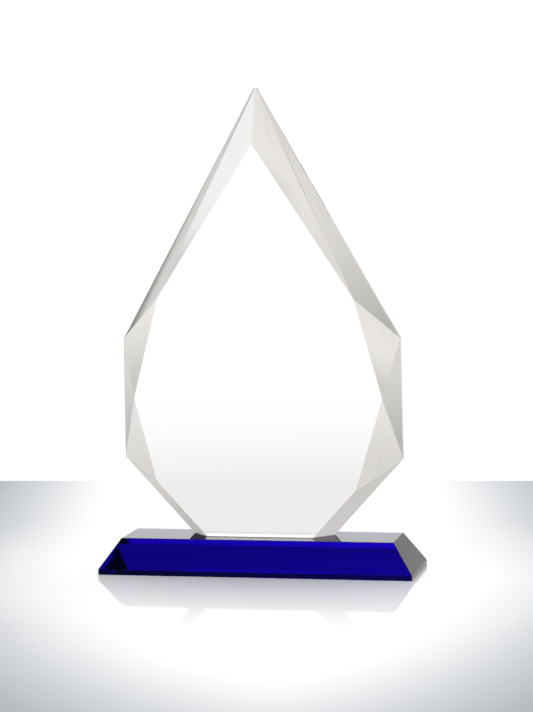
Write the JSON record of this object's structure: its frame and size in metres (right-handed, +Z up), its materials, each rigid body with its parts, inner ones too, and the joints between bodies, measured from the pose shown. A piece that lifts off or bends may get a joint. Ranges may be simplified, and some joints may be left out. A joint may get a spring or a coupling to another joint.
{
  "type": "crystal award",
  "caption": "Free-standing crystal award: a clear, pointed, drop-shaped plaque with bevel facets, glued on edge to a low cobalt-blue glass base.",
  "frame": {"origin": "middle of the base's underside, on the surface it stands on", "axes": "+Z up along the plaque's height, +X along the base to the right as seen from the front, -Y out of the plaque's bevelled front face"},
  "size_m": [0.151, 0.044, 0.2286],
  "materials": {
    "clear_crystal": "optically clear, flame-bright polish on every facet",
    "cured_adhesive": "clear UV-cured glass adhesive, glossy",
    "cobalt_crystal": "deep cobalt-blue glass, polished, clear through its depth"
  },
  "bodies": {
    "root": {"crystal_plaque": "clear_crystal", "bond_film": "cured_adhesive", "crystal_base": "cobalt_crystal"}
  },
  "joints": []
}
